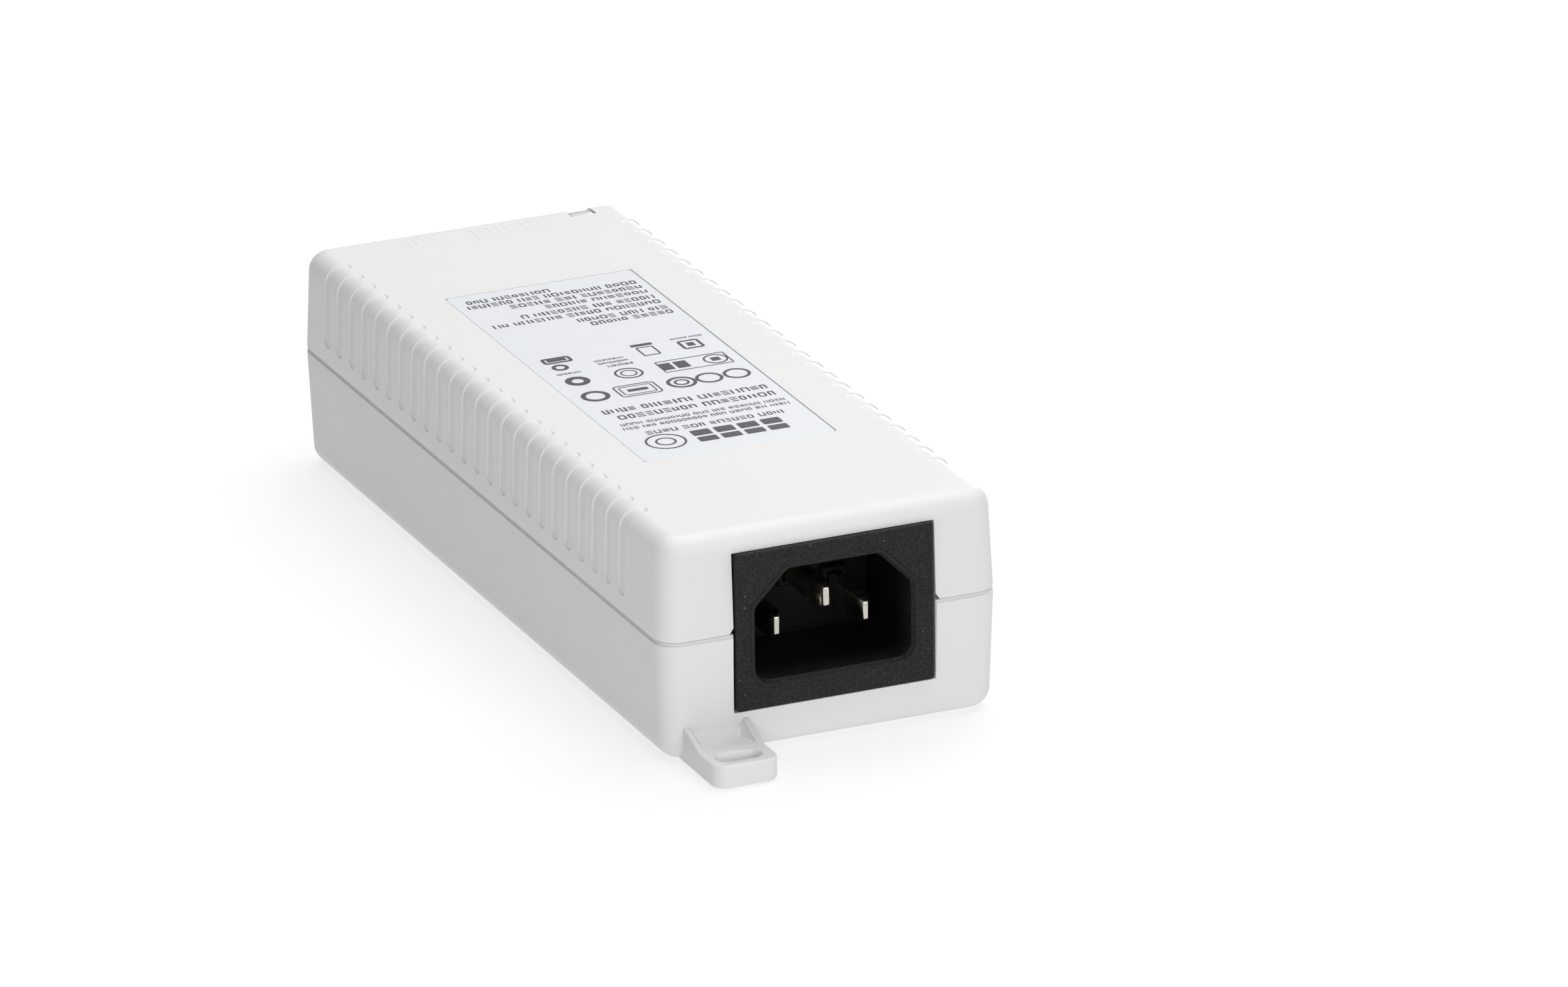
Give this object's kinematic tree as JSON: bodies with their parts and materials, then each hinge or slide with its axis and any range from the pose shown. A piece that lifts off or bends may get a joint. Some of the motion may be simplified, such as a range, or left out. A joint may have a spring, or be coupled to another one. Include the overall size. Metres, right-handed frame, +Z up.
{
  "type": "poe injector",
  "caption": "Slim pale grey power-over-Ethernet injector with ribbed long edges, a recessed mains pin inlet at one end, modular data sockets at the other and slotted screw ears.",
  "frame": {"origin": "centre of the case underside, where it rests", "axes": "+Y along the case from the mains inlet to the data sockets, +Z up, +X across, right of the inlet seen from the inlet end"},
  "size_m": [0.053, 0.1628, 0.0338],
  "materials": {
    "case": "pale grey, fine-textured",
    "label": "printed white film",
    "light_pipe": "clear, slightly green",
    "inlet_plastic": "black, fine-textured",
    "jack_plastic": "black",
    "pin_nickel": "nickel plated",
    "lead_live": "brown insulation",
    "lead_neutral": "blue insulation",
    "lead_earth": "green and yellow insulation",
    "tin_steel": "tinned sheet",
    "screw_steel": "zinc plated",
    "gold": "gold flash on spring wire",
    "board": "green laminate",
    "barrier_sheet": "insulating film",
    "moulded_part": "black moulding compound",
    "disc_coating": "blue epoxy",
    "film_box": "yellow case",
    "ferrite": "dark sintered ferrite",
    "copper": "enamelled copper wire",
    "winding_tape": "yellow tape over copper",
    "can_sleeve": "dark sleeve on a can",
    "heatsink": "bent plate",
    "lamp": "diffused green"
  },
  "bodies": {
    "root": {"bridge_rectifier": "moulded_part", "bulk_capacitor": "can_sleeve", "case_screw_1": "screw_steel", "case_screw_2": "screw_steel", "case_screw_3": "screw_steel", "case_screw_4": "screw_steel", "choke_core": "ferrite", "choke_winding_left": "copper", "choke_winding_right": "copper", "ethernet_magnetics": "moulded_part", "fuse": "moulded_part", "inlet_housing": "inlet_plastic", "inlet_lead_earth": "lead_earth", "inlet_lead_live": "lead_live", "inlet_lead_neutral": "lead_neutral", "inlet_pin_earth": "pin_nickel", "inlet_pin_live": "pin_nickel", "inlet_pin_neutral": "pin_nickel", "insulation_sheet": "barrier_sheet", "light_pipe": "light_pipe", "lower_shell": "case", "main_pcb": "board", "optocoupler": "moulded_part", "output_capacitor_1": "can_sleeve", "output_capacitor_2": "can_sleeve", "output_diode": "moulded_part", "poe_controller": "moulded_part", "primary_heatsink": "heatsink", "pwm_controller": "moulded_part", "rating_label": "label", "rj45_contacts_in": "gold", "rj45_contacts_out": "gold", "rj45_housing": "jack_plastic", "rj45_shield": "tin_steel", "secondary_heatsink": "heatsink", "status_led": "lamp", "switching_transistor": "moulded_part", "transformer_bobbin": "moulded_part", "transformer_core": "ferrite", "transformer_winding": "winding_tape", "upper_shell": "case", "varistor": "disc_coating", "x_capacitor": "film_box", "y_capacitor": "disc_coating"}
  },
  "joints": []
}
